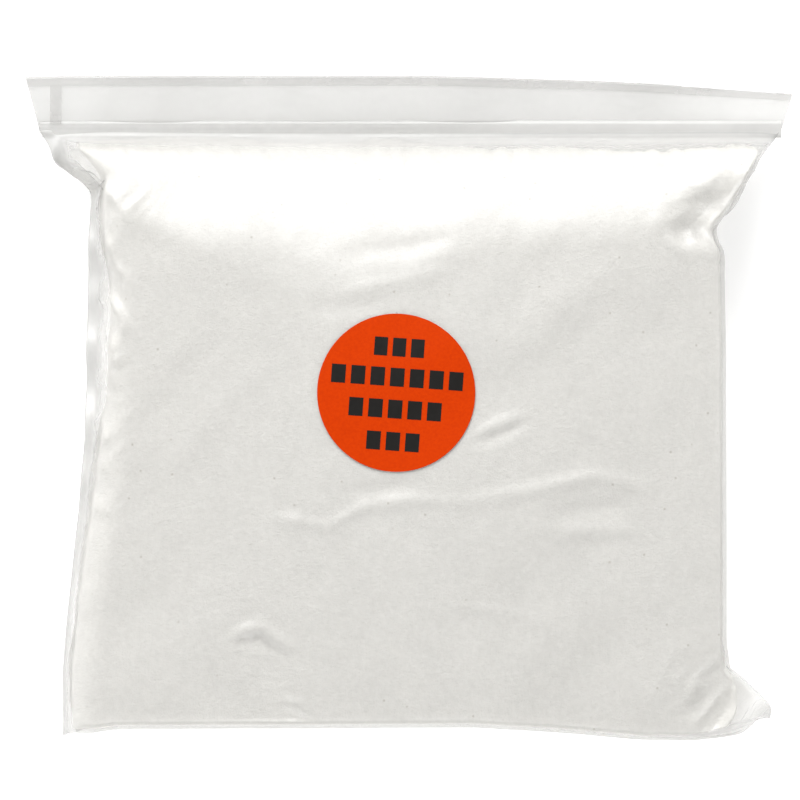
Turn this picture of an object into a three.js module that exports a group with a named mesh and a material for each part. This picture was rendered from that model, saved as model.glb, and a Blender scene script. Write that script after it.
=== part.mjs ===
// Bag of flour: a clear film bag lying on its back, filled with one kilogram of flour and
// closed across the mouth, with a round paper label stuck on the face.
// Millimetres. X runs across the bag, Y from the bottom seam to the mouth, Z up off the table.
import * as THREE from "three";
import { mergeGeometries, mergeVertices } from "three/addons/utils/BufferGeometryUtils.js";

// The empty bag, and what the flour makes of it
const FLAT_WIDTH = 254; // across the mouth, where no flour spreads the film
const BODY_LENGTH = 200; // from the bottom seam to the closure
const LIP_LENGTH = 17; // of empty film past the closure
const FULL_THICKNESS = 45; // of the flour at the edge of the face
const CROWN = 4; // how much higher the middle of the face stands
const FILM = 0.8; // both sheets and the air between them, where there is no flour

// How far each side seam stands from the bag's middle line, and where it flares to the corners
const LEFT_SEAM = { waist: 107.5, mouthFlare: 26, corner: 116, cornerFlare: 95 };
const RIGHT_SEAM = { waist: 102, mouthFlare: 38, corner: 119, cornerFlare: 26 };

// The flour draws the bottom seam in between its two corners
const BOTTOM_SEAM = { drawnIn: 5.5, halfWidth: 116 };

// The flour inside: how far it stays from the seams, and how wide its rounded edges are
const FLOUR = { sideGap: 2, bottomGap: 1, mouthGap: 4, sideRound: 22, bottomRound: 18, mouthRound: 48 };
const ROUNDNESS = 2.4; // 2 is a circle's arc, and more is squarer
const EDGE_FALL = 0.62; // how steeply the rounded edge meets the seam: less is steeper
const FLAT_BACK = 1.35; // how much deeper than the table the back would hang if nothing held it

// Heights of the seams off the table
const SEAM_HEIGHT = { bottom: 13, middle: 21, closure: 15, lip: 12 };

const CLOSURE = { width: 3, thickness: 1.8 }; // the pressed strip that shuts the mouth

// Hollows and swells of the face, where the packed flour has shifted
const DENTS = [
  { x: -10, y: 63, reach: 26, height: -2.6 },
  { x: 2, y: 49, reach: 14, height: 1.2 },
  { x: -48, y: 11, reach: 36, height: -1.1 },
  { x: 38, y: -20, reach: 24, height: 1.2 },
  { x: 62, y: 30, reach: 32, height: -1 },
];

const LABEL = { x: -5, y: 13, radius: 25, thickness: 0.3, gap: 0.35, rings: 4, sides: 40 };

const SHEET_COLUMNS = 42;
const SHEET_ROWS = 38;
const LIP_ROWS = 4;

const CLOSURE_Y = BODY_LENGTH / 2;
const BOTTOM_Y = -BODY_LENGTH / 2;

const between = (low, high, value) => THREE.MathUtils.clamp((value - low) / (high - low), 0, 1);

// A seam leaves its waist in a curve to reach the corner or the end of the closure.
function seamDistance(seam, y) {
  const toMouth = 1 - between(0, seam.mouthFlare, CLOSURE_Y - y);
  const toCorner = 1 - between(0, seam.cornerFlare, y - BOTTOM_Y);
  const mouthSpread = (FLAT_WIDTH / 2 - seam.waist) * toMouth ** 2 * (3 - 2 * toMouth);
  return seam.waist + mouthSpread + (seam.corner - seam.waist) * toCorner ** 2;
}

// How far the bottom seam stands in from its corners.
function bottomDrawnIn(x) {
  const { drawnIn, halfWidth } = BOTTOM_SEAM;
  return drawnIn * Math.max(0, 1 - (x / halfWidth) ** 4);
}

// The seams sink towards both ends of the bag, and the lip droops past the closure.
function seamHeight(y) {
  const { bottom, middle, closure, lip } = SEAM_HEIGHT;
  const fromBottom = THREE.MathUtils.smoothstep(y, BOTTOM_Y, BOTTOM_Y + BODY_LENGTH / 4);
  const toClosure = THREE.MathUtils.smoothstep(y, CLOSURE_Y - BODY_LENGTH / 4, CLOSURE_Y);
  const pastClosure = between(CLOSURE_Y, CLOSURE_Y + LIP_LENGTH, y) ** 2;
  const body = bottom + (middle - bottom) * fromBottom + (closure - middle) * toClosure;
  return body + (lip - closure) * pastClosure;
}

// 0 at the edge of the flour, rising in an arc to 1 where its round ends.
function roundedEdge(round, distance) {
  const toEdge = 1 - between(0, round, distance);
  return (1 - toEdge ** ROUNDNESS) ** EDGE_FALL;
}

// 1 over the face of the flour and 0 past all its edges. The flour spreads with the seams.
function flourRise(x, y) {
  const seam = x < 0 ? LEFT_SEAM : RIGHT_SEAM;
  const fromSeam = seam.waist * (1 - Math.abs(x) / seamDistance(seam, y));
  const side = roundedEdge(FLOUR.sideRound, fromSeam - FLOUR.sideGap);
  const bottom = roundedEdge(FLOUR.bottomRound, y - BOTTOM_Y - bottomDrawnIn(x) - FLOUR.bottomGap);
  const mouth = roundedEdge(FLOUR.mouthRound, CLOSURE_Y - FLOUR.mouthGap - y);
  return side * bottom * mouth;
}

function dentHeight(x, y) {
  let height = 0;
  for (const dent of DENTS) {
    const away = Math.hypot(x - dent.x, y - dent.y) / dent.reach;
    height += dent.height * Math.exp(-(away ** 2));
  }
  return height;
}

// Half the thickness of the empty film, with the pressed strip standing proud of it.
function filmHalf(y) {
  const strip = Math.abs(y - CLOSURE_Y) <= CLOSURE.width / 2;
  return (strip ? CLOSURE.thickness : FILM) / 2;
}

function faceHeight(x, y) {
  const seam = seamHeight(y);
  const crown = CROWN * Math.cos((x / FLAT_WIDTH) * Math.PI) * Math.cos((y / BODY_LENGTH) * Math.PI);
  const face = FULL_THICKNESS + crown + dentHeight(x, y);
  return seam + Math.max(filmHalf(y), (face - seam) * flourRise(x, y));
}

function backHeight(x, y) {
  const seam = seamHeight(y);
  return Math.max(0, seam - Math.max(filmHalf(y), FLAT_BACK * seam * flourRise(x, y)));
}

// Sheet lines stand closer together towards the seams, where the film turns over the flour's edge.
const spread = (share) => 0.5 * share + 0.5 * Math.sin((share * Math.PI) / 2);

// Rows run from the bottom seam to the near edge of the closure, then from its far edge to the lip's end.
function rowPlace(row) {
  const bodyRows = SHEET_ROWS - LIP_ROWS;
  const halfStrip = CLOSURE.width / 2;
  if (row <= bodyRows) {
    const share = (1 + spread((2 * row) / bodyRows - 1)) / 2;
    return BOTTOM_Y + (BODY_LENGTH - halfStrip) * share;
  }
  const share = (row - bodyRows - 1) / (LIP_ROWS - 1);
  return CLOSURE_Y + halfStrip + (LIP_LENGTH - halfStrip) * share;
}

// One sheet of film with the given height. At the seams both sheets meet on one line.
function filmSheet(height, facesUp) {
  const sheet = new THREE.PlaneGeometry(2, 2, SHEET_COLUMNS, SHEET_ROWS);
  const points = sheet.attributes.position;
  for (let i = 0; i < points.count; i++) {
    const column = i % (SHEET_COLUMNS + 1);
    const row = SHEET_ROWS - Math.floor(i / (SHEET_COLUMNS + 1));
    const across = spread((2 * column) / SHEET_COLUMNS - 1);
    const place = rowPlace(row);
    const x = across * seamDistance(across < 0 ? LEFT_SEAM : RIGHT_SEAM, place);
    const y = place + bottomDrawnIn(x) * (1 - between(BOTTOM_Y, CLOSURE_Y, place));
    const onSeam = column === 0 || column === SHEET_COLUMNS || row === 0 || row === SHEET_ROWS;
    points.setXYZ(i, x, y, onSeam ? seamHeight(y) : height(x, y));
  }
  if (!facesUp) sheet.index.array.reverse();
  return sheet;
}

function bagGeometry() {
  const bag = mergeGeometries([filmSheet(faceHeight, true), filmSheet(backHeight, false)]);
  bag.deleteAttribute("normal");
  bag.deleteAttribute("uv");
  const closed = mergeVertices(bag, 1e-3);
  closed.computeVertexNormals();
  return closed;
}

// A thin round disc, laid over the face so that it follows the swell of the flour.
function labelGeometry() {
  const { x, y, radius, thickness, gap, rings, sides } = LABEL;
  const ringPoint = (ring, z) => new THREE.Vector2((radius * ring) / rings, z);
  const profile = [];
  for (let ring = 0; ring <= rings; ring++) profile.push(ringPoint(ring, 0));
  for (let ring = rings; ring >= 0; ring--) profile.push(ringPoint(ring, thickness));
  const disc = new THREE.LatheGeometry(profile, sides);
  disc.rotateX(Math.PI / 2);
  disc.translate(x, y, 0);
  const points = disc.attributes.position;
  for (let i = 0; i < points.count; i++) {
    const layer = points.getZ(i) + gap;
    points.setZ(i, layer + faceHeight(points.getX(i), points.getY(i)));
  }
  disc.deleteAttribute("normal");
  disc.deleteAttribute("uv");
  const closed = mergeVertices(disc, 1e-3);
  closed.computeVertexNormals();
  return closed;
}

const filmOverFlour = new THREE.MeshStandardMaterial({ color: 0xf3f1ea, roughness: 0.35, metalness: 0 });
const orangePaper = new THREE.MeshStandardMaterial({ color: 0xe24a05, roughness: 0.5, metalness: 0 });

function namedMesh(name, geometry, material) {
  const mesh = new THREE.Mesh(geometry, material);
  mesh.name = name;
  return mesh;
}

const bagOfFlour = new THREE.Group();
bagOfFlour.add(namedMesh("bag", bagGeometry(), filmOverFlour));
bagOfFlour.add(namedMesh("label", labelGeometry(), orangePaper));

// The origin is under the middle of the bag, on the table.
const outline = new THREE.Box3().setFromObject(bagOfFlour);
const middle = outline.getCenter(new THREE.Vector3());
bagOfFlour.position.set(-middle.x, -middle.y, -outline.min.z);

export default bagOfFlour;
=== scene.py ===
import math

import bpy
import numpy as np
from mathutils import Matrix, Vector
from mathutils.bvhtree import BVHTree


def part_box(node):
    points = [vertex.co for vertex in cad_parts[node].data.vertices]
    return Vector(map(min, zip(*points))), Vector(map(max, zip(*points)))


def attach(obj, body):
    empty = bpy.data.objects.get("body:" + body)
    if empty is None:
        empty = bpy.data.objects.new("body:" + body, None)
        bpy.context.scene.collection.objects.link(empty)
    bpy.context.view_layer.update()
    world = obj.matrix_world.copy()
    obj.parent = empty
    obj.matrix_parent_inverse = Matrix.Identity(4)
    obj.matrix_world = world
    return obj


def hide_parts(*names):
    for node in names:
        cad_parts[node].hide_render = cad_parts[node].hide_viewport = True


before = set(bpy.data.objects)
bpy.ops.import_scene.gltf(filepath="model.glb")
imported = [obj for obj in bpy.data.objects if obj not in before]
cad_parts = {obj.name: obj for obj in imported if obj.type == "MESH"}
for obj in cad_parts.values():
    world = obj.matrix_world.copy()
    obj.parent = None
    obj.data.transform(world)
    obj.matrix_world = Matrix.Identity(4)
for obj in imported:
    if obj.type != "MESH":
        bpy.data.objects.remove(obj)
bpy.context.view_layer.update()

# ---- The film bag -------------------------------------------------------------------------
# Two sheets of clear polythene, welded down both sides and across the bottom. One kilogram of
# flour fills the bag tight and draws its sides in, so that the welds have film to spare, which
# stands in puckers. Past the closure the sheets go on as an empty lip with a turned-over hem.

MM = 0.001  # this file works in millimetres, from the middle of the bag's underside
bag_low, bag_high = (np.array(corner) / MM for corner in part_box("bag"))

LIP = 17  # from the closure to the end of the lip
HEM = 3.2
closure_y = bag_high[1] - LIP
bottom_y = bag_low[1]

# The filled bag's outline as (place, distance): how far the side welds stand from the middle
# at places along the bag, and where the bottom weld and the lip's end run at places across it.
LEFT_WELD = [(-109, 115.4), (-88, 115), (-66, 112.5), (-35, 109.2), (-10, 107), (56, 105.8),
             (68, 105.2), (71, 106), (74.2, 109.2), (76.5, 112), (79, 116.6), (81, 118),
             (86, 119.6), (91, 122.8), (109, 126.6)]
RIGHT_WELD = [(-103, 118.4), (-99.5, 119.4), (-95.5, 116.2), (-89, 108.6), (-84.5, 102.2),
              (-76, 99.6), (20, 99.4), (50, 98.8), (57, 98.2), (63, 103), (70, 107.6),
              (82, 115), (91, 122), (109, 126.4)]
BOTTOM_WELD = [(-116, -109.2), (-108, -105), (-96, -103), (20, -102.4), (50, -104.2), (76, -106.6),
               (90, -108), (104, -106.4), (113, -105), (119, -103)]
LIP_END = [(-127, 108.6), (-110, 109.2), (0, 109.4), (60, 107.6), (127, 103.4)]


def smooth_curve(stations, at, rounding=3.0):
    """The curve through (place, value) stations, with its corners rounded off."""
    places, values = np.array(stations, float).T
    fine = np.arange(places[0] - 4 * rounding, places[-1] + 4 * rounding, rounding / 6)
    window = np.hanning(15)
    straight = np.pad(np.interp(fine, places, values), 7, "edge")
    return np.interp(at, fine, np.convolve(straight, window / window.sum(), "valid"))


def thread_places(count, length, extra_low, extra_high, zone=7.0):
    """Shares from 0 to 1, closer together near the ends, where the film turns down a wall."""
    place = np.linspace(0, length, 2000)
    density = 1 + extra_low * np.exp(-place / zone) + extra_high * np.exp((place - length) / zone)
    passed = np.cumsum(density) - density[0]
    return np.interp(np.linspace(0, passed[-1], count + 1), passed, place / length)


def smoothstep(low, high, value):
    share = np.clip((value - low) / (high - low), 0, 1)
    return share * share * (3 - 2 * share)


def random_waves(x, y, seed, shortest, longest, count=24):
    """An even field of random waves, about 1 high."""
    draw = np.random.default_rng(seed)
    field = np.zeros_like(x)
    for _ in range(count):
        turn, phase = draw.uniform(0, 2 * math.pi, 2)
        length = draw.uniform(shortest, longest)
        field += np.cos((x * math.cos(turn) + y * math.sin(turn)) * 2 * math.pi / length + phase)
    return field / math.sqrt(count)


FILLED_WIDTH, FILLED_LENGTH = 230, 200
threads_across = thread_places(190, FILLED_WIDTH, extra_low=4, extra_high=5)
threads_along = thread_places(170, FILLED_LENGTH, extra_low=5, extra_high=0.8)
share_across, share_along = np.meshgrid(threads_across, threads_along)
BOTTOM_LEFT, BOTTOM_WIDTH = -116, 236
bottom_line = smooth_curve(BOTTOM_WELD, BOTTOM_LEFT + BOTTOM_WIDTH * share_across)
left_corner, right_corner = bottom_line[:, :1], bottom_line[:, -1:]
left_line = -smooth_curve(LEFT_WELD, left_corner + (closure_y - left_corner) * share_along, 2)
right_line = smooth_curve(RIGHT_WELD, right_corner + (closure_y - right_corner) * share_along)
film_x = left_line + (right_line - left_line) * share_across
film_y = bottom_line + (closure_y - bottom_line) * share_along
from_left = film_x - left_line
from_right = right_line - film_x
from_bottom = film_y - bottom_line
from_mouth = closure_y - film_y


def spot(x, y, reach_x, reach_y):
    """1 at x, y, fading out all round it."""
    return np.exp(-(((film_x - x) / reach_x) ** 2) - ((film_y - y) / reach_y) ** 2)


# The welds stand clear of the table, lowest at the bottom right corner, which hangs out as an
# ear with its tip turned up. At the left shoulder the empty film folds down into a pocket.
BOTTOM_WELD_HEIGHT = 12
SIDE_RISE = 9  # from there to the sides
CLOSURE_FALL = 6  # from the sides to the closure
BEND = 45
weld_z = BOTTOM_WELD_HEIGHT + SIDE_RISE * smoothstep(bottom_y, bottom_y + BEND, film_y)
weld_z -= CLOSURE_FALL * smoothstep(closure_y - BEND, closure_y, film_y)
weld_z -= 4 * spot(112, -98, 12, 10) - 3.5 * spot(120, -101, 4, 5)
weld_z -= 10 * spot(-108, 76.5, 8, 5)

# Along the left weld the empty film stands in soft waves.
left_waves = random_waves(film_y, film_x * 0.3, seed=8, shortest=11, longest=40)
left_waves *= np.exp(-((from_left / 9) ** 2))
weld_z += left_waves * smoothstep(-60, -20, film_y) * (1 - smoothstep(60, 70, film_y))

# How far in from its edges the flour reaches its full height. At the mouth that differs from
# place to place across the bag, and along the left weld a fin of empty film stands out.
MOUTH_SLOPE = [(-110, 23), (-94, 27), (-74, 38), (-55, 47), (-37, 53), (-14, 53), (3, 46), (21, 41),
               (45, 39), (74, 35), (92, 28), (110, 21)]
LEFT_FIN = [(-60, 1.5), (0, 4), (45, 4.5), (60, 2.5), (70, 2), (77, 7.5), (83, 4), (90, 3)]
LEFT_ROUND, RIGHT_ROUND, BOTTOM_ROUND = 16, 3.2, 3.6


def rounded_edge(distance, reach, fall=0.55, roundness=2.3):
    """0 at the edge, rising in an arc to 1 where the round ends."""
    to_edge = 1 - np.clip(distance / reach, 0, 1)
    return (1 - to_edge**roundness) ** fall


# How far the flour fills the bag: 0 at its edges and in the ear, 1 under the face
past_fin = from_left - smooth_curve(LEFT_FIN, film_y)
mouth_slope = smooth_curve(MOUTH_SLOPE, film_x, 16)
EAR_X, EAR_Y, EAR_REACH = 119, -102, 17
fill = (
    rounded_edge(past_fin, LEFT_ROUND, fall=0.58, roundness=2.8) * smoothstep(-0.5, 3, past_fin)
    * rounded_edge(from_right - 0.5, RIGHT_ROUND, fall=0.34)
    * rounded_edge(from_bottom - 0.5, BOTTOM_ROUND, fall=0.36)
    * rounded_edge(from_mouth - 3, mouth_slope, fall=0.7, roundness=1.85)
    * smoothstep(2, 6, from_mouth) * smoothstep(0, EAR_REACH, np.hypot(film_x - EAR_X, film_y - EAR_Y))
)

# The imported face: its height, its crown, and swells and hollows as (x, y, reach, height)
FACE = 44.5
CROWN = 4
FLAT_WIDTH = 254  # across the mouth
FACE_OFF_MIDDLE = 8.5  # how far the filled part's middle lies from the whole bag's middle
SWELLS = [(-3, 49, 13, -0.9), (-36, 64, 14, -0.6), (4, 43, 10, 0.45), (-48, 2, 34, -0.9),
          (38, -28, 22, 1), (62, 22, 30, -0.8), (-70, -60, 26, -0.8), (70, 46, 24, 0.7)]

# Creases that the film keeps, as (half width, rise, route)
FACE_CREASES = [
    (1.9, 0.32, [(-24, 35.5), (-8, 39), (11, 43)]), (3, -0.4, [(-30, 31), (-8, 33)]),
    (3, -0.5, [(-18, 49), (0, 51), (12, 54)]), (0.8, -0.5, [(-14, 66), (-9, 61)]),
    (1.1, 0.85, [(-28, -39), (-16, -32), (0, -29.5), (18, -30)]), (2.4, -0.45, [(-20, -27), (4, -24)]),
    (1.8, 0.9, [(18, -30), (40, -26), (58, -22), (76, -26)]), (2.4, -0.6, [(44, -34), (68, -31)]),
    (1.8, 0.8, [(46, -40), (70, -39)]), (0.9, 0.8, [(-43, -35), (-27, -38)]),
    (1, 0.8, [(20, -9), (35, -3)]), (0.9, -0.8, [(21, -11), (36, -5)]), (0.9, 0.6, [(13, -63), (35, -66)]),
    (0.8, -1.3, [(-57, -75), (-48, -73), (-40, -79.5)]), (0.9, 1, [(-57, -72.5), (-48, -71), (-38, -78)]),
    (1, 0.9, [(-40, -92), (-33, -97)]), (0.8, -0.8, [(-41, -94), (-35, -99)]),
    (5, 0.5, [(-78, -20), (-50, 12)]), (5, -0.5, [(-86, -8), (-62, 22)]),
    (6, 0.6, [(30, 14), (62, 44)]), (6, -0.5, [(22, 24), (50, 52)]),
]
LEFT_PUCKERS = [
    (1, 1.6, [(-102, 78), (-99, 71), (-95.2, 63.4)]), (2.2, -2.4, [(-105, 60), (-95.5, 58.8)]),
    (1.9, 2.2, [(-105, 54.8), (-94, 55.6)]), (1.2, 2, [(-100, 54), (-98, 48.6), (-93.4, 40)]),
    (2, -2.4, [(-101.5, 48), (-95, 37)]),
    (1.5, 2.6, [(-101, 42.5), (-99.3, 38), (-95.6, 31.5), (-92.6, 24)]),
    (2.2, -2.6, [(-102, 33), (-95, 23.5)]), (1.8, 2.2, [(-100, 19.6), (-92, 23.8)]),
    (1.5, -2, [(-101, 17), (-93.5, 18.2)]), (1.8, 2, [(-99.5, 12.4), (-93, 16)]),
    (2, -2, [(-104, 4), (-97, 2)]), (2, -2, [(-104, -3), (-97, -4)]), (2, 2.2, [(-104, -8), (-96, -9.4)]),
    (2, -1.4, [(-105, -24), (-98, -27)]), (2, 1.4, [(-106, -30), (-98, -34)]),
]
RIGHT_SHOULDER = [
    (6, -4, [(88, 60.5), (98, 65), (109, 74)]), (1.6, 1.6, [(90, 62), (97, 60.8), (101, 59)]),
    (2.6, -1.5, [(82, 55.6), (88, 56.6), (97, 57)]), (1.4, 0.6, [(81, 53.5), (85.6, 50), (93, 52.6)]),
    (0.9, 0.9, [(93.5, 60), (98, 53.5)]), (1.2, -1.2, [(97, 59), (100.5, 55)]),
]
EAR_CREASES = [
    (1.5, -1.5, [(100.6, -81), (97, -89), (89, -98)]), (1.4, 0.6, [(101.6, -84), (98, -92), (92, -100)]),
    (1.4, -1.6, [(102, -85), (100.5, -93), (94, -104)]), (1.4, 0.5, [(103, -88), (102.6, -96), (97, -105)]),
    (1.5, -1, [(105.4, -90), (106, -97), (101, -105.5)]),
]


def crease_height(creases):
    """How far the creases lift or dent the film. Each tapers off towards the ends of its route."""
    height = np.zeros_like(film_x)
    for half_width, rise, route in creases:
        nearest = np.full_like(film_x, np.inf)
        share = np.zeros_like(film_x)
        for leg, ((x0, y0), (x1, y1)) in enumerate(zip(route, route[1:])):
            run_x, run_y = x1 - x0, y1 - y0
            part = ((film_x - x0) * run_x + (film_y - y0) * run_y) / (run_x**2 + run_y**2)
            part = np.clip(part, 0, 1)
            away = np.hypot(film_x - x0 - part * run_x, film_y - y0 - part * run_y)
            share = np.where(away < nearest, (leg + part) / (len(route) - 1), share)
            nearest = np.minimum(away, nearest)
        taper = np.sqrt(np.clip(4 * share * (1 - share) + 0.15, 0, 1))
        height += rise * taper * np.exp(-((nearest / half_width) ** 2))
    return height


crown_across = np.cos(film_x / FLAT_WIDTH * math.pi)
crown_along = np.cos((film_y + FACE_OFF_MIDDLE) / FILLED_LENGTH * math.pi)
face = FACE + CROWN * crown_across * crown_along
# Broad swells that run aslant over the face, and small ones
aslant_across, aslant_along = film_x * 0.6 - film_y * 0.8, film_x * 0.8 + film_y * 0.6
face += 0.35 * random_waves(aslant_across, aslant_along * 0.4, seed=3, shortest=18, longest=60)
face += 0.05 * random_waves(film_x, film_y, seed=4, shortest=6, longest=14)
for x, y, reach, height in SWELLS:
    face += height * spot(x, y, reach, reach)

HALF_GAP = 0.25  # half the air between the sheets where there is no flour
TABLE_GAP = 0.1  # between the back sheet and the table
FLAT_BACK = 1.35  # how much deeper than the table the back would hang if nothing held it
over_flour = np.clip(3 * fill, 0, 1)
ear_creases = crease_height(EAR_CREASES)
face_creases = crease_height(FACE_CREASES + LEFT_PUCKERS + RIGHT_SHOULDER)
weld_z += ear_creases * (1 - over_flour)
face_z = weld_z + np.maximum(HALF_GAP, (face - weld_z) * fill)
face_z += (face_creases + ear_creases) * over_flour
back_z = np.maximum(TABLE_GAP, weld_z - np.maximum(HALF_GAP, FLAT_BACK * weld_z * fill))
welded_rim = np.zeros_like(weld_z, bool)
welded_rim[:, [0, -1]] = welded_rim[[0, -1], :] = True
face_z[welded_rim] = back_z[welded_rim] = weld_z[welded_rim]

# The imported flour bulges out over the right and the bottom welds.
RIGHT_BULGE, BOTTOM_BULGE, BULGE_REACH = 2.4, 1.6, 10
bulge_right = RIGHT_BULGE * fill * np.exp(-((from_right / BULGE_REACH) ** 2))
bulge_right *= smoothstep(-92, -76, film_y)
bulge_right *= 1 - smoothstep(46, 60, film_y)
bulge_bottom = BOTTOM_BULGE * fill * np.exp(-((from_bottom / BULGE_REACH) ** 2))
bulge_bottom *= 1 - smoothstep(70, 90, film_x)
filled_x, filled_y = film_x + bulge_right, film_y - bulge_bottom
filled_shape = np.stack([np.stack([filled_x, filled_y, z], -1) for z in (face_z, back_z)])

# Spare film, as the share by which the sheet is longer than its plain shape: along the left
# weld, and at the right shoulder, the left shoulder and the ear
in_left_margin = smoothstep(-50, -10, film_y) * (1 - smoothstep(70, 84, film_y))
spare_along = (
    0.03 * np.exp(-(((from_left - 8) / 6) ** 2)) * in_left_margin
    + 0.015 * np.exp(-((from_left / 12) ** 2))
    + 0.03 * spot(100, 64, 13, 11) + 0.03 * spot(-104, 74, 9, 8) + 0.05 * spot(108, -94, 12, 9)
)
spare_across = (
    0.02 * spot(102, 68, 15, 13) + 0.03 * spot(-106, 78, 10, 8) + 0.04 * spot(106, -96, 13, 10)
    + 0.004 * np.exp(-((from_mouth / 8) ** 2))
)


def outward_normals(shape):
    """Normals that point up from the face and down from the back."""
    normal = np.cross(np.gradient(shape, axis=2), np.gradient(shape, axis=1))
    normal /= np.linalg.norm(normal, axis=-1, keepdims=True)
    normal[1] *= -1
    return normal


def thread_ends(points, rows, columns):
    """Where each thread starts and where it ends, that many rows and columns further on."""
    height, width = points.shape[1:3]
    start = points[:, : height - rows, max(-columns, 0) : width - max(columns, 0)]
    end = points[:, rows:, max(columns, 0) : width - max(-columns, 0)]
    return start, end


def thread_lengths(shape, rows, columns):
    """How long each thread of film is: as long as its path over the shape, and the spare film."""
    steps = max(abs(rows), abs(columns))
    down, over = rows // steps, columns // steps
    one_step = np.linalg.norm(np.subtract(*thread_ends(shape, down, over)), axis=-1)
    length = np.zeros(thread_ends(shape, rows, columns)[0].shape[:3])
    _, height, width = length.shape
    for step in range(steps):
        from_row, from_column = step * down, step * abs(over)
        length += one_step[:, from_row : from_row + height, from_column : from_column + width]
    spare = (abs(rows) * spare_along + abs(columns) * spare_across) / (abs(rows) + abs(columns))
    return length * (1 + sum(thread_ends(spare[None], rows, columns)) / 2)


# The threads that the film's pull runs along: how many rows and columns each spans, and its
# share of the pull
THREADS = [(1, 0, 1), (0, 1, 1), (1, 1, 0.5), (1, -1, 0.5),
           (2, 0, 0.3), (0, 2, 0.3), (4, 0, 0.1), (0, 4, 0.1)]
# How firmly each weld keeps to the filled shape, in x, y and z, where 1 is fixed
LEFT_HOLD, RIGHT_HOLD, BOTTOM_HOLD = (0.6, 0.3, 0.06), (0.5, 0.3, 0.1), (0.3, 0.5, 0.15)
FILM_HOLD, FACE_HOLD = 0.008, 0.015  # how firmly all the film keeps to it, and the face besides
STIFFNESS = 0.12  # how strongly the film resists tight bends where no flour backs it
RIPPLE = 0.15  # height of the ripples that the film starts with
SLACK = 0.15  # how far the film can sink into the loose top of the flour
SHEET_GAP = 0.3  # that the two sheets keep to each other


def settle(shape, rounds):
    """The film as it comes to rest. Each thread takes its own length, so spare film buckles
    outward, while the flour holds it up from inside and the table from below."""
    threads = [(rows, columns, pull, thread_lengths(shape, rows, columns)[..., None])
               for rows, columns, pull in THREADS]
    hold = np.zeros(weld_z.shape + (3,))
    hold[:, 0] = LEFT_HOLD
    hold[:, -1] = RIGHT_HOLD
    hold[0] = BOTTOM_HOLD
    hold[-1] = 1
    inside = np.minimum(np.minimum(from_left, from_right), np.minimum(from_bottom, from_mouth))
    hold = (hold + FILM_HOLD + FACE_HOLD * smoothstep(12, 28, inside)[..., None])[None]
    outward = outward_normals(shape)
    on_flour = (fill > 0.12)[None, :, :, None]
    ripples = [random_waves(film_x, film_y, seed, shortest=4, longest=12) for seed in (11, 12)]
    points = shape + outward * RIPPLE * np.abs(np.stack(ripples))[..., None]
    stiffness = STIFFNESS * (1 - smoothstep(8, 20, inside)) * (1 - 0.7 * np.clip(1.5 * fill, 0, 1))
    stiffness = stiffness[None, 1:-1, 1:-1, None]
    for _ in range(rounds):
        beside = points[:, :-2, 1:-1] + points[:, 2:, 1:-1] + points[:, 1:-1, :-2] + points[:, 1:-1, 2:]
        points[:, 1:-1, 1:-1] += stiffness * (beside / 4 - points[:, 1:-1, 1:-1])
        for rows, columns, pull, length in threads:
            start, end = thread_ends(points, rows, columns)
            steps = max(abs(rows), abs(columns))
            order = (np.arange(length.shape[1 if rows else 2]) // steps) % 2
            for turn in (0, 1):
                pick = (slice(None), order == turn) if rows else (slice(None), slice(None), order == turn)
                run = end[pick] - start[pick]
                reached = np.sqrt((run * run).sum(-1, keepdims=True)) + 1e-9
                move = run * (0.5 * pull * (reached - length[pick]) / reached)
                start[pick] += move
                end[pick] -= move
        points[:, welded_rim] = points[:, welded_rim].mean(0)
        points += hold * (shape - points)
        sunk = ((points - shape) * outward).sum(-1, keepdims=True) + SLACK
        points -= outward * np.minimum(sunk, 0) * on_flour
        points[..., 2] = np.maximum(points[..., 2], TABLE_GAP)
        apart = np.maximum(SHEET_GAP - points[0, ..., 2] + points[1, ..., 2], 0) / 2
        points[0, ..., 2] += apart
        points[1, ..., 2] -= apart
        points[:, welded_rim] = points[:, welded_rim].mean(0)
    return points


film = settle(filled_shape, rounds=350)

# The lip droops a little past the closure. The end of its face sheet is turned over outward as a
# hem, and at the right the back sheet shows past the front one.
closure_x, closure_z = film[0, -1, :, 0][None], film[0, -1, :, 2][None]
closure_half = np.abs(closure_x[:, [0, -1]]).mean()
LIP_HALF = FLAT_WIDTH / 2
lip_length = smooth_curve(LIP_END, closure_x) - closure_y


def lip_sheet(past_closure, side, off_middle, longer=0):
    """Rows of the lip's face sheet (side 1) or back sheet (side -1), at shares past_closure of
    its length. The lip widens towards its end, and its right corner hangs lowest."""
    x = closure_x * (1 + (LIP_HALF / closure_half - 1) * past_closure)
    y = closure_y + (lip_length + longer) * past_closure
    droop = (1.2 + 5 * smoothstep(60, LIP_HALF, closure_x)) * past_closure**1.5
    sway = 0.35 * random_waves(x, y * 0.3, seed=5, shortest=40, longest=90) * past_closure
    return np.stack(np.broadcast_arrays(x, y, closure_z - droop + sway + side * off_middle), -1)


def with_dust_and_shading(sheet, dust_and_shading):
    """The sheet's points, each with how much flour dust clings to the film there, lowered in places as
    painted shade and painted light.
    """
    return np.concatenate([sheet, np.broadcast_to(dust_and_shading, sheet.shape[:2])[..., None]], -1)


lip_share = np.linspace(0, 1, 13)[1:, None]
hem_share = 1 - np.linspace(0, HEM / LIP, 5)[:, None]
back_shows = 0.8 * smoothstep(71, 74, closure_x) * (1 - smoothstep(83, 87, closure_x))
back_shows += 1.6 * smoothstep(88, 92, closure_x) * (1 - smoothstep(117, 120, closure_x))
lip_gap = 0.3 * np.sqrt(lip_share)  # from the lip's middle to each of its sheets
HEM_GAP = 0.55  # from the lip's middle to the hem
face_lip = lip_sheet(lip_share, 1, lip_gap)
face_hem = lip_sheet(hem_share, 1, HEM_GAP)
back_lip = lip_sheet(lip_share, -1, lip_gap, back_shows)
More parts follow.
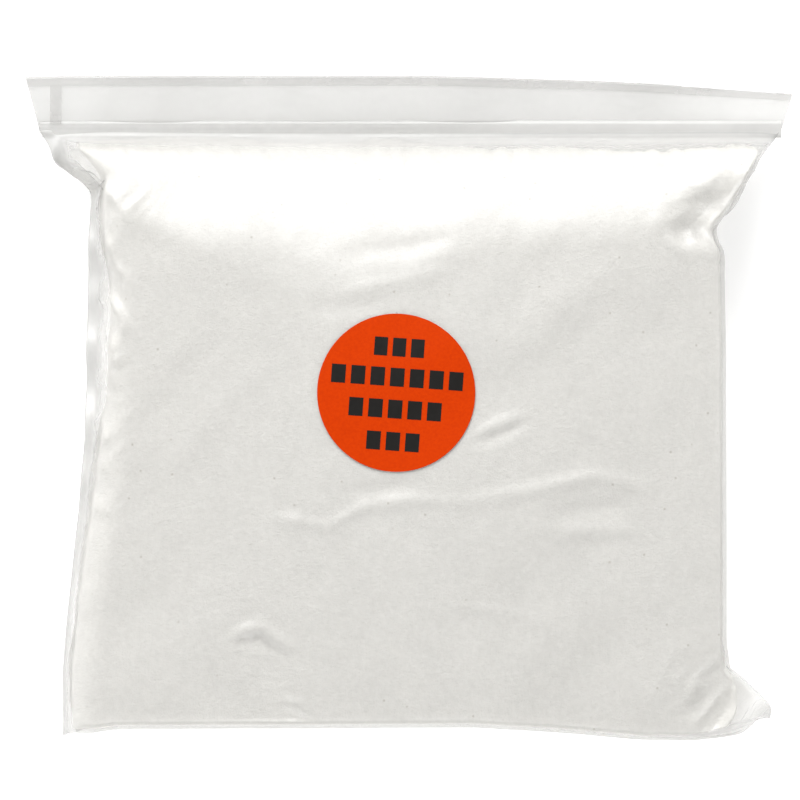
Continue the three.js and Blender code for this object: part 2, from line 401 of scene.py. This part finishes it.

# How much flour dust clings to the film: little where flour packs it. Less of it in the pocket at the
# left shoulder is painted shade, as the film there tints darker and clearer, so the pocket looks
# shadowed. Less of it in the ear is painted light, as more of the glowing floor shows through and
# lifts the ear out of the bag's shadow.
PACKED_DUST, BARE_DUST, LIP_DUST, HEM_DUST = 0.06, 0.44, 0.5, 0.3
bare_film = 1 - np.clip(2.5 * fill, 0, 1)
film_dust_and_shading = PACKED_DUST + BARE_DUST * bare_film
# Painted shade: less dust in the pocket darkens it. Painted light: less dust in the ear lightens it.
film_dust_and_shading += -0.4 * spot(-107, 77, 7, 4) - 0.25 * spot(112, -98, 14, 10)
face_sheet = [with_dust_and_shading(film[0], film_dust_and_shading), with_dust_and_shading(face_lip, LIP_DUST), with_dust_and_shading(face_hem, HEM_DUST)]
back_sheet = [with_dust_and_shading(film[1], film_dust_and_shading), with_dust_and_shading(back_lip, LIP_DUST)]


def sheet_faces(rows, columns, first=0, turned=False):
    """The squares between the points of a sheet of that many rows and columns."""
    index = np.arange(rows * columns).reshape(rows, columns) + first
    corners = [index[:-1, :-1], index[:-1, 1:], index[1:, 1:], index[1:, :-1]]
    return np.stack(corners[::-1] if turned else corners, -1).reshape(-1, 4)


def two_sheets(upper, lower):
    """Points and faces of an upper and a lower sheet, welded where they lie on each other."""
    rows, columns = upper.shape[:2]
    points = np.concatenate([sheet.reshape(-1, sheet.shape[-1]) for sheet in (upper, lower)])
    lower_faces = sheet_faces(*lower.shape[:2], rows * columns, turned=True)
    faces = np.concatenate([sheet_faces(rows, columns), lower_faces])
    _, first, where = np.unique(np.round(points[:, :3], 4), axis=0, return_index=True, return_inverse=True)
    return points[first], where.reshape(-1)[faces]


def add_piece(name, points, faces, material, replaced, slot):
    """A smooth mesh piece on the bag's body, made from points in millimetres and their dust, which on the
    film also carries painted shade and painted light.
    """
    points = np.asarray(points)
    corners = [[int(corner) for corner in face] for face in faces]
    mesh = bpy.data.meshes.new(name)
    mesh.from_pydata((points[:, :3] * MM).tolist(), [], corners)
    if points.shape[1] > 3:
        dust_and_shading = mesh.attributes.new("dust_and_shading", "FLOAT", "POINT")
        dust_and_shading.data.foreach_set("value", points[:, 3].astype(np.float32))
    mesh.validate()
    mesh.shade_smooth()
    mesh.materials.append(material)
    piece = bpy.data.objects.new(name, mesh)
    bpy.context.scene.collection.objects.link(piece)
    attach(piece, "root")
    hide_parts(replaced)
    return piece


class Finish:
    """A material under construction, with short ways to add and join its nodes."""

    def __init__(self, name):
        self.material = bpy.data.materials.new(name)
        self.material.use_nodes = True
        self.tree = self.material.node_tree
        self.surface = self.tree.nodes["Principled BSDF"]
        self.output = self.tree.nodes["Material Output"].inputs["Surface"]
        self.place = self.add("ShaderNodeTexCoord").outputs["Object"]

    def add(self, kind, **values):
        node = self.tree.nodes.new(kind)
        for name, value in values.items():
            self.put(node.inputs[name.replace("_", " ")], value)
        return node

    def put(self, socket, value):
        if isinstance(value, bpy.types.NodeSocket):
            self.tree.links.new(value, socket)
        else:
            socket.default_value = value

    def set(self, shader, **values):
        for name, value in values.items():
            self.put(shader.inputs[name.replace("_", " ")], value)

    def noise(self, size, detail=3, roughness=0.5):
        """Soft noise whose blotches are about size millimetres across."""
        node = self.add("ShaderNodeTexNoise", Vector=self.place, Scale=1 / (size * MM))
        self.set(node, Detail=detail, Roughness=roughness)
        return node.outputs["Fac"]

    def spread(self, value, from_low, from_high, to_low, to_high):
        """The value, with its own range spread over a new one."""
        node = self.add("ShaderNodeMapRange", Value=value)
        self.set(node, From_Min=from_low, From_Max=from_high, To_Min=to_low, To_Max=to_high)
        return node.outputs["Result"]

    def sum(self, first, second):
        node = self.add("ShaderNodeMath")
        self.put(node.inputs[0], first)
        self.put(node.inputs[1], second)
        return node.outputs[0]

    def shades(self, amount, low, high):
        """A colour between low and high."""
        node = self.add("ShaderNodeMix")
        node.data_type = "RGBA"
        for name, value in (("Factor_Float", amount), ("A_Color", low), ("B_Color", high)):
            self.put(next(s for s in node.inputs if s.identifier == name), value)
        return next(s for s in node.outputs if s.identifier == "Result_Color")

    def relief(self, height, depth, strength=1.0):
        """A surface that stands up to depth millimetres high."""
        node = self.add("ShaderNodeBump", Height=height, Distance=depth * MM, Strength=strength)
        return node.outputs["Normal"]

    def blend(self, amount, first, second):
        node = self.add("ShaderNodeMixShader", Fac=amount)
        self.put(node.inputs[1], first)
        self.put(node.inputs[2], second)
        return node.outputs["Shader"]


def polythene(name, tint, milk, haze_low, haze_high):
    """Film that tints what is behind it, scatters a little, and shines more at a slant. Where it
    hangs free it is clearer, but dusted with flour."""
    finish = Finish(name)
    creases = finish.relief(finish.noise(9, 3, 0.55), 0.25, 0.5)
    # On the bag's film the dust attribute also carries painted shade in the pocket and painted light in the
    # ear.
    dust_and_shading = finish.add("ShaderNodeAttribute")
    dust_and_shading.attribute_name = "dust_and_shading"
    dust_and_shading_amount = finish.spread(dust_and_shading.outputs["Fac"], 0.1, 0.4, 0, 1)
    tint = finish.shades(dust_and_shading_amount, tint, (0.965, 0.963, 0.955, 1))
    clear = finish.add("ShaderNodeBsdfTransparent", Color=tint).outputs[0]
    milky = finish.surface
    finish.set(milky, Base_Color=milk, Roughness=0.6, Normal=creases)
    haze = finish.spread(finish.noise(14, 3, 0.6), 0.35, 0.7, haze_low, haze_high)
    milkiness = finish.sum(haze, dust_and_shading.outputs["Fac"])
    gloss = finish.add("ShaderNodeBsdfPrincipled", Base_Color=(0.95, 0.95, 0.96, 1), Metallic=1.0)
    smudges = finish.spread(finish.noise(30), 0.3, 0.7, 0.36, 0.52)
    finish.set(gloss, Roughness=smudges, Normal=creases)
    slant = finish.add("ShaderNodeLayerWeight", Blend=0.5).outputs["Facing"]
    curve = finish.add("ShaderNodeMath")
    curve.operation = "POWER"
    curve.inputs[1].default_value = 3
    finish.put(curve.inputs[0], slant)
    shine = finish.spread(curve.outputs[0], 0, 1, 0.05, 0.2)
    film_body = finish.blend(milkiness, clear, milky.outputs[0])
    finish.put(finish.output, finish.blend(shine, film_body, gloss.outputs[0]))
    return finish.material


clear_polythene = polythene(
    "clear polythene", tint=(0.865, 0.862, 0.852, 1), milk=(0.51, 0.507, 0.496, 1),
    haze_low=0, haze_high=0.05,
)
film_sheets = [np.concatenate(sheet) for sheet in (face_sheet, back_sheet)]
add_piece("bag_film", *two_sheets(*film_sheets), clear_polythene, "bag", "film")

# Near the left end a tuck of the lip is pressed flat, so that more film lies on it.
TUCK_LEFT, TUCK_RIGHT = -119.2, -115.4
TUCK_LEAN = 1.8  # how far the lip leans out there, from the closure to the tuck
TUCK_GAP, TUCK_DUST = 0.7, 0.28
from_closure = closure_x[0] - TUCK_LEAN
tuck_columns = (from_closure > TUCK_LEFT) & (from_closure < TUCK_RIGHT)
tuck_share = np.linspace(0.1, 0.84, 9)[:, None]
tuck = with_dust_and_shading(lip_sheet(tuck_share, 1, TUCK_GAP)[:, tuck_columns], TUCK_DUST)
tuck[..., 0] = np.linspace(TUCK_LEFT, TUCK_RIGHT, tuck.shape[1])
tuck_faces = sheet_faces(*tuck.shape[:2])
add_piece("lip_tuck", tuck.reshape(-1, 4), tuck_faces, clear_polythene, "bag", "film")

# ---- The closure --------------------------------------------------------------------------
# A strip of thicker polythene, pressed flat across the whole mouth. It thins out towards both of
# its edges, and is welded to the sheets along the line where they meet.

# The upper half of its section, as (along the bag, up)
STRIP = [(-2.8, 0.02), (-1.6, 0.14), (0, 0.2), (1.6, 0.14), (2.8, 0.02)]
thick_polythene = polythene(
    "thick polythene", tint=(0.985, 0.985, 0.98, 1), milk=(0.68, 0.676, 0.66, 1),
    haze_low=0.3, haze_high=0.4,
)


def swept_strip(section, middle_line):
    """A closed solid: the section, as (along the bag, up), carried along the middle line."""
    section, line = np.array(section), np.asarray(middle_line)
    rings = np.repeat(line[:, None], len(section), 1)
    rings[:, :, 1:] += section[None]
    count, ring = rings.shape[:2]
    around = np.arange(ring)
    faces = []
    for place in range(count - 1):
        a, b = place * ring + around, place * ring + (around + 1) % ring
        faces += np.stack([a, b, b + ring, a + ring], -1).tolist()
    caps = [around.tolist(), ((count - 1) * ring + around[::-1]).tolist()]
    return rings.reshape(-1, 3), faces + caps


closure_line = film[0, -1]
strip_section = STRIP + [(along, -up) for along, up in reversed(STRIP)]
strip, strip_faces = swept_strip(strip_section, closure_line)
strip_dust = 0.4 * smoothstep(-20, 50, strip[:, :1])  # more of it clings to the right half
dusted_strip = np.hstack([strip, strip_dust])
add_piece("closure_strip", dusted_strip, strip_faces, thick_polythene, "bag", "film")

# ---- The flour ----------------------------------------------------------------------------
# One kilogram of plain white flour, packed against the inside of the film. It takes the
# film's shape but for the finest puckers, and stops short of the welds and of the closure.

# How far the flour reaches to the left and to the right at places along the bag, and how far
# below the closure it ends at places across it
FLOUR_LEFT = [(-109, 112), (-88, 113), (-66, 110.6), (-35, 107.2), (-8, 103), (10, 99.5), (40, 99),
              (54, 102), (62, 103), (70, 103.5), (75, 101.5), (80, 105), (84, 111), (88, 113), (91, 106)]
FLOUR_RIGHT = [(-107, 97), (-98, 104.5), (-88, 104), (-80, 104), (20, 104), (50, 103), (57, 100),
               (63, 102), (70, 106.4), (80, 112), (85, 114.6), (88, 113), (91, 105)]
FLOUR_MOUTH = [(-127, 4), (-90, 1.8), (-68, 1.6), (-50, 4.5), (-26, 4.4), (-14, 1.9), (4, 5),
               (25, 6.2), (50, 5.6), (70, 7), (92, 6.6), (112, 5)]
FLOUR_EDGE = 0.7  # how far the flour stays from the film's outermost line, right and bottom
INSET = 0.35  # under the film
SIDE_INSET = 0.996  # of its plan


def height_tree(sheet):
    return BVHTree.FromPolygons(sheet.reshape(-1, 3).tolist(), sheet_faces(*sheet.shape[:2]).tolist())


def height_of(tree, x, y, from_above=True):
    """The height at which a line straight down, or up, first meets the sheet."""
    start, down = (200, -1) if from_above else (-100, 1)
    heights = np.full(x.shape, np.nan)
    for place in np.ndindex(x.shape):
        hit = tree.ray_cast(Vector((x[place], y[place], start)), Vector((0, 0, down)))[0]
        if hit is not None:
            heights[place] = hit.z
    return heights


def lowest_nearby(field, times):
    """Each height lowered to that of its lowest neighbour."""
    for _ in range(times):
        padded = np.pad(field, 1, "edge")
        rows, columns = field.shape
        field = np.min([padded[i : i + rows, j : j + columns] for i in range(3) for j in range(3)], axis=0)
    return field


def softened(field, times):
    for _ in range(times):
        padded = np.pad(field, 1, "edge")
        beside = padded[:-2, 1:-1] + padded[2:, 1:-1] + padded[1:-1, :-2] + padded[1:-1, 2:]
        field = (beside + 4 * field) / 8
    return field


face_tree, back_tree = height_tree(film[0]), height_tree(film[1])
FLOUR_START, FLOUR_WIDTH = -122, 240
top_x = FLOUR_WIDTH * share_across
flour_top = closure_y - smooth_curve(FLOUR_MOUTH, FLOUR_START + top_x, 5)
flour_top += 0.4 * random_waves(top_x, 0, seed=6, shortest=2.5, longest=7)
flour_low = film[0, :, :, 1].min(axis=0) + FLOUR_EDGE
flour_y = flour_low + (flour_top - flour_low) * share_along
flour_left = -smooth_curve(FLOUR_LEFT, flour_y[:, :1], 5)
flour_left += 0.5 * random_waves(flour_y[:, :1], 0, seed=7, shortest=10, longest=30)
film_right = np.interp(flour_y[:, -1:], film_y[:, -1], film[0, :, :, 0].max(axis=1)) - FLOUR_EDGE
flour_right = np.minimum(smooth_curve(FLOUR_RIGHT, flour_y[:, -1:], 5), film_right)
flour_x = flour_left + (flour_right - flour_left) * share_across
upper = height_of(face_tree, flour_x, flour_y)
lower = height_of(back_tree, flour_x, flour_y, from_above=False)
off_film = np.isnan(upper) | np.isnan(lower)
upper[off_film] = lower[off_film] = weld_z[off_film]
from_side = np.minimum(flour_x - flour_left, flour_right - flour_x)
from_end = np.minimum(flour_y - flour_low, flour_top - flour_y)

# Away from its edges the flour is packed into every crease of the film. Near them it is looser,
# and fills only the film's broad shape.
packed = smoothstep(6, 16, np.minimum(from_side, from_end))
loose_upper = softened(lowest_nearby(upper, 2), 2)
loose_lower = softened(-lowest_nearby(-lower, 2), 2)
upper = packed * upper + (1 - packed) * loose_upper - INSET
lower = packed * lower + (1 - packed) * loose_lower + INSET
UNDERSIDE, FLATTENED = 0.45, 0.6  # its height off the table, and what lies flat below that
lower = np.where(lower < FLATTENED, UNDERSIDE, lower)
middle = (upper + lower) / 2
THIN = 0.02  # half the flour's thickness at its very edge
edge_round = (
    rounded_edge(flour_x - flour_left, 4) * rounded_edge(flour_right - flour_x, 1)
    * rounded_edge(flour_y - flour_low, 1) * rounded_edge(flour_top - flour_y, 3)
)
upper = middle + np.maximum(THIN, upper - middle) * edge_round
lower = middle + np.minimum(-THIN, lower - middle) * edge_round
upper[welded_rim] = lower[welded_rim] = middle[welded_rim]
flour_plan = (flour_x * SIDE_INSET, flour_y * SIDE_INSET)
flour_sheets = [np.stack([*flour_plan, z], -1) for z in (upper, lower)]

# White powder, mottled, with a fine brown speck every few millimetres
SPECK_SPACING = 7
packed_flour = Finish("packed flour")
mottle = packed_flour.spread(packed_flour.noise(2, 5, 0.8), 0.3, 0.7, 0, 1)
flour_white = packed_flour.shades(mottle, (0.85, 0.84, 0.815, 1), (0.95, 0.94, 0.915, 1))
specks = packed_flour.add("ShaderNodeTexVoronoi", Vector=packed_flour.place, Scale=1 / (SPECK_SPACING * MM))
speck = packed_flour.spread(specks.outputs["Distance"], 0.04, 0.07, 0.5, 0)
speckled = packed_flour.shades(speck, flour_white, (0.5, 0.46, 0.4, 1))
powder = packed_flour.relief(packed_flour.noise(1.2, 5, 0.8), 0.6, 0.8)
packed_flour.set(packed_flour.surface, Base_Color=speckled, Roughness=0.95, Normal=powder)
packed_flour.surface.inputs["Specular IOR Level"].default_value = 0.1
add_piece("flour", *two_sheets(*flour_sheets), packed_flour.material, "bag", "flour")

# ---- The label ----------------------------------------------------------------------------
# A round sticker of coated orange paper, 50 mm across, pressed onto the face so that it takes
# the film's swells.

LABEL_RADIUS = 25
PAPER_LIFT, INK_LIFT = 0.15, 0.22  # heights over the film
label_low, label_high = (np.array(corner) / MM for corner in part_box("label"))
label_x, label_y = (label_low[:2] + label_high[:2]) / 2
RINGS, SPOKES = 14, 120
turns = np.arange(SPOKES) * 2 * math.pi / SPOKES
ring_radii = LABEL_RADIUS * np.linspace(0, 1, RINGS + 1)[1:]


def drape(points, lift):
    """Points of a flat shape, given from the label's middle, laid over the film."""
    x, y = label_x + points[:, 0], label_y + points[:, 1]
    return np.stack([x, y, height_of(face_tree, x, y) + lift], -1)


circles = [np.stack([r * np.cos(turns), r * np.sin(turns)], -1) for r in ring_radii]
disc = np.concatenate([[[0, 0]], *circles])
spoke = np.arange(SPOKES)
disc_faces = np.stack([0 * spoke, 1 + spoke, 1 + (spoke + 1) % SPOKES], -1).tolist()
for ring in range(RINGS - 1):
    near, far = 1 + ring * SPOKES + spoke, 1 + ring * SPOKES + (spoke + 1) % SPOKES
    disc_faces += np.stack([near, near + SPOKES, far + SPOKES, far], -1).tolist()
orange_paper = Finish("orange paper")
fibre = orange_paper.noise(0.9, 5, 0.6)
fibre_shade = orange_paper.spread(fibre, 0.3, 0.7, 0, 1)
orange = orange_paper.shades(fibre_shade, (0.53, 0.034, 0.0, 1), (0.6, 0.043, 0.0, 1))
fibre_relief = orange_paper.relief(fibre, 0.02)
orange_paper.set(orange_paper.surface, Base_Color=orange, Roughness=0.5, Normal=fibre_relief)
orange_paper.surface.inputs["Specular IOR Level"].default_value = 0.06
paper_points = drape(disc, PAPER_LIFT)
add_piece("label_paper", paper_points, disc_faces, orange_paper.material, "label", "label_paper")

# ---- The label's print --------------------------------------------------------------------
# Black ink on the sticker's paper: four rows of plain blocks, printed a little askew. The ink is
# a thin layer that takes the paper's swells.

BLOCK_ROWS = [(14.4, 3, 17.4), (4.9, 7, 43.4), (-5.2, 5, 31), (-15.4, 3, 18.4)]  # up, blocks, width
BLOCK_HEIGHT = 5.8
BLOCK_SHARE = 0.72  # of the room that each block has in its row
ASKEW = math.radians(-4)
CELLS = 4  # along each edge of a block
cell = np.linspace(-0.5, 0.5, CELLS + 1)
ink_points, ink_faces = [], []
for up, count, width in BLOCK_ROWS:
    pitch = width / count
    for block in range(count):
        middle_x = (block + 0.5) * pitch - width / 2
        grid_x, grid_y = np.meshgrid(middle_x + cell * BLOCK_SHARE * pitch, up + cell * BLOCK_HEIGHT)
        turned_x = grid_x * math.cos(ASKEW) - grid_y * math.sin(ASKEW)
        turned_y = grid_x * math.sin(ASKEW) + grid_y * math.cos(ASKEW)
        ink_faces.append(sheet_faces(CELLS + 1, CELLS + 1, sum(map(len, ink_points))))
        ink_points.append(np.stack([turned_x.ravel(), turned_y.ravel()], -1))
black_ink = Finish("black ink")
ink_grain = black_ink.spread(black_ink.noise(1.5), 0.3, 0.7, 0.4, 0.6)
black_ink.set(black_ink.surface, Base_Color=(0.012, 0.011, 0.01, 1), Roughness=ink_grain)
black_ink.surface.inputs["Specular IOR Level"].default_value = 0.15
print_points, print_faces = drape(np.concatenate(ink_points), INK_LIFT), np.concatenate(ink_faces)
add_piece("label_print", print_points, print_faces.tolist(), black_ink.material, "label", "label_ink")

# ---- Floor, lights and camera -------------------------------------------------------------
# A plain white table that glows faintly, four soft lights round the bag, the strongest of them
# past its mouth, and a camera that looks straight down.

FLOOR_HALF = 3  # metres, as are the places of the lights and of the camera
floor_corners = [(x * FLOOR_HALF, y * FLOOR_HALF, 0) for x, y in ((-1, -1), (1, -1), (1, 1), (-1, 1))]
floor_mesh = bpy.data.meshes.new("floor")
floor_mesh.from_pydata(floor_corners, [], [(0, 1, 2, 3)])
floor = bpy.data.objects.new("floor", floor_mesh)
bpy.context.scene.collection.objects.link(floor)
white_table = Finish("white table")
white_table.set(white_table.surface, Base_Color=(0.97, 0.97, 0.97, 1), Roughness=0.9)
white_table.set(white_table.surface, Emission_Color=(1, 1, 1, 1), Emission_Strength=0.3)
floor_mesh.materials.append(white_table.material)


def soft_light(name, place, size, power):
    """A square soft box that faces the bag."""
    box = bpy.data.lights.new(name, "AREA")
    box.size = size
    box.energy = power
    lamp = bpy.data.objects.new(name, box)
    lamp.location = place
    lamp.rotation_euler = (-Vector(place)).to_track_quat("-Z", "Y").to_euler()
    bpy.context.scene.collection.objects.link(lamp)


soft_light("past the mouth", (-0.5, 1.95, 1.4), 1.6, 80)
soft_light("before the bottom", (-0.4, -2.05, 0.6), 1.6, 29)
soft_light("at the right", (2.1, -0.5, 0.5), 1.4, 16)
soft_light("at the left", (-2.1, -0.4, 0.5), 1.4, 7)
studio = bpy.data.worlds.new("studio")
studio.use_nodes = True
surroundings = studio.node_tree.nodes["Background"].inputs
surroundings["Color"].default_value = (1, 1, 1, 1)
surroundings["Strength"].default_value = 0.44
bpy.context.scene.world = studio

lens = bpy.data.cameras.new("camera")
lens.sensor_width = 36
lens.lens = 107.4
camera = bpy.data.objects.new("camera", lens)
camera.location = (-0.0038, 0.0022, 0.802)
bpy.context.scene.collection.objects.link(camera)
bpy.context.scene.camera = camera
bpy.context.scene.view_settings.view_transform = "Standard"
